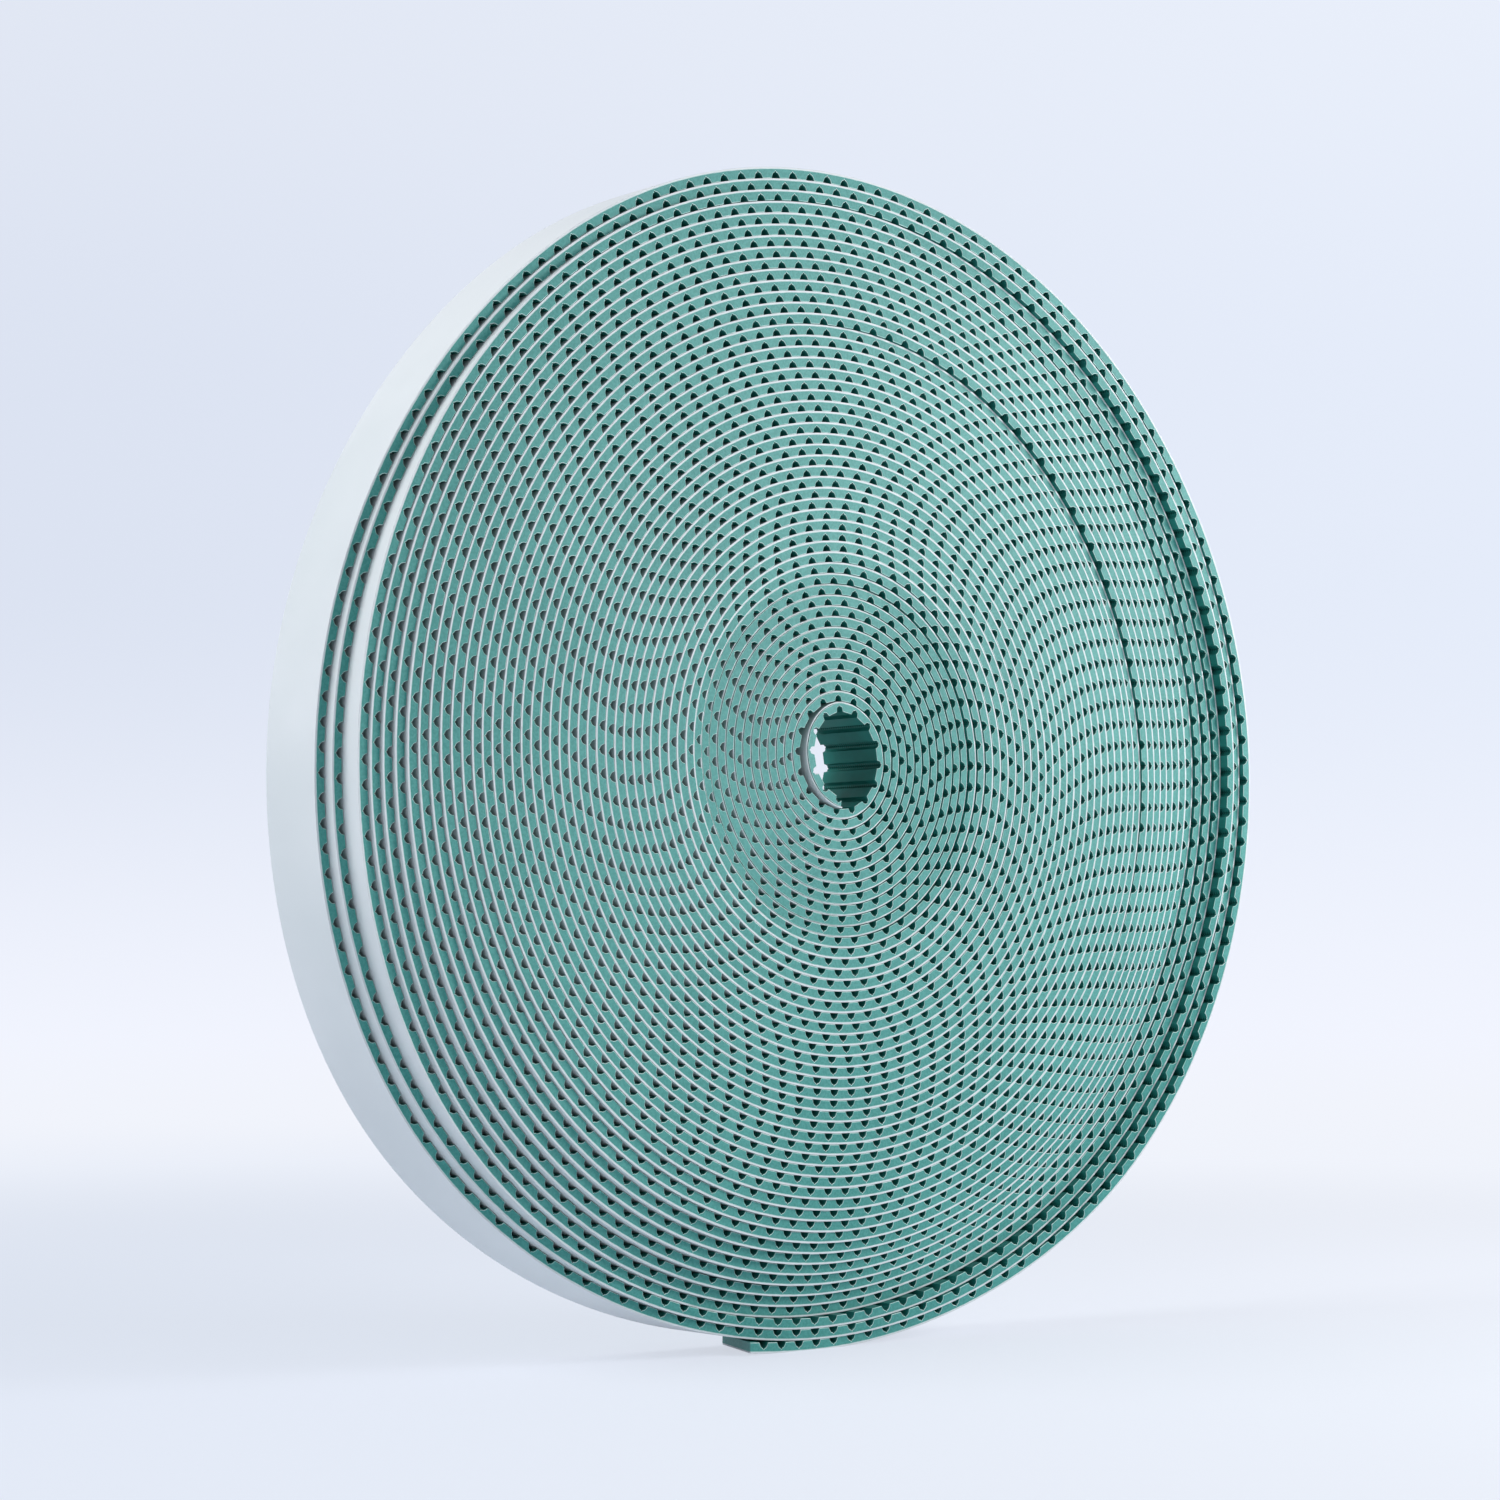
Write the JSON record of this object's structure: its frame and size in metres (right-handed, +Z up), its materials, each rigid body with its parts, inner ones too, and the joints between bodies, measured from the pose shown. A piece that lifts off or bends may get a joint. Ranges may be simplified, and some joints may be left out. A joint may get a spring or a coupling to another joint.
{
  "type": "toothed belt roll",
  "caption": "Roll of open-ended toothed drive belt, wound teeth inward round an open bore and stood on its rim, with a white-covered back and its loose end lying flat.",
  "frame": {"origin": "on the ground, under the middle of the roll's outer box", "axes": "+Z up, the roll's axis along Y with its front face towards -Y, the loose end of the belt pointing to -X"},
  "size_m": [0.512, 0.0812, 0.5139],
  "materials": {
    "belt_green": "satin moulded polyurethane, matt where the edge was slit",
    "cover_white": "smooth matt white polyurethane cover",
    "cord_steel": "fine stranded steel cord, cut square"
  },
  "bodies": {
    "root": {"belt_first_turns": "belt_green", "belt_middle_turns": "belt_green", "belt_sliding_turns": "belt_green", "belt_turn_4th_from_last": "belt_green", "belt_turn_3rd_from_last": "belt_green", "belt_turn_2nd_from_last": "belt_green", "belt_turn_last": "belt_green", "belt_tail": "belt_green", "cover_wound": "cover_white", "cover_tail": "cover_white", "cords_tail": "cord_steel"}
  },
  "joints": []
}
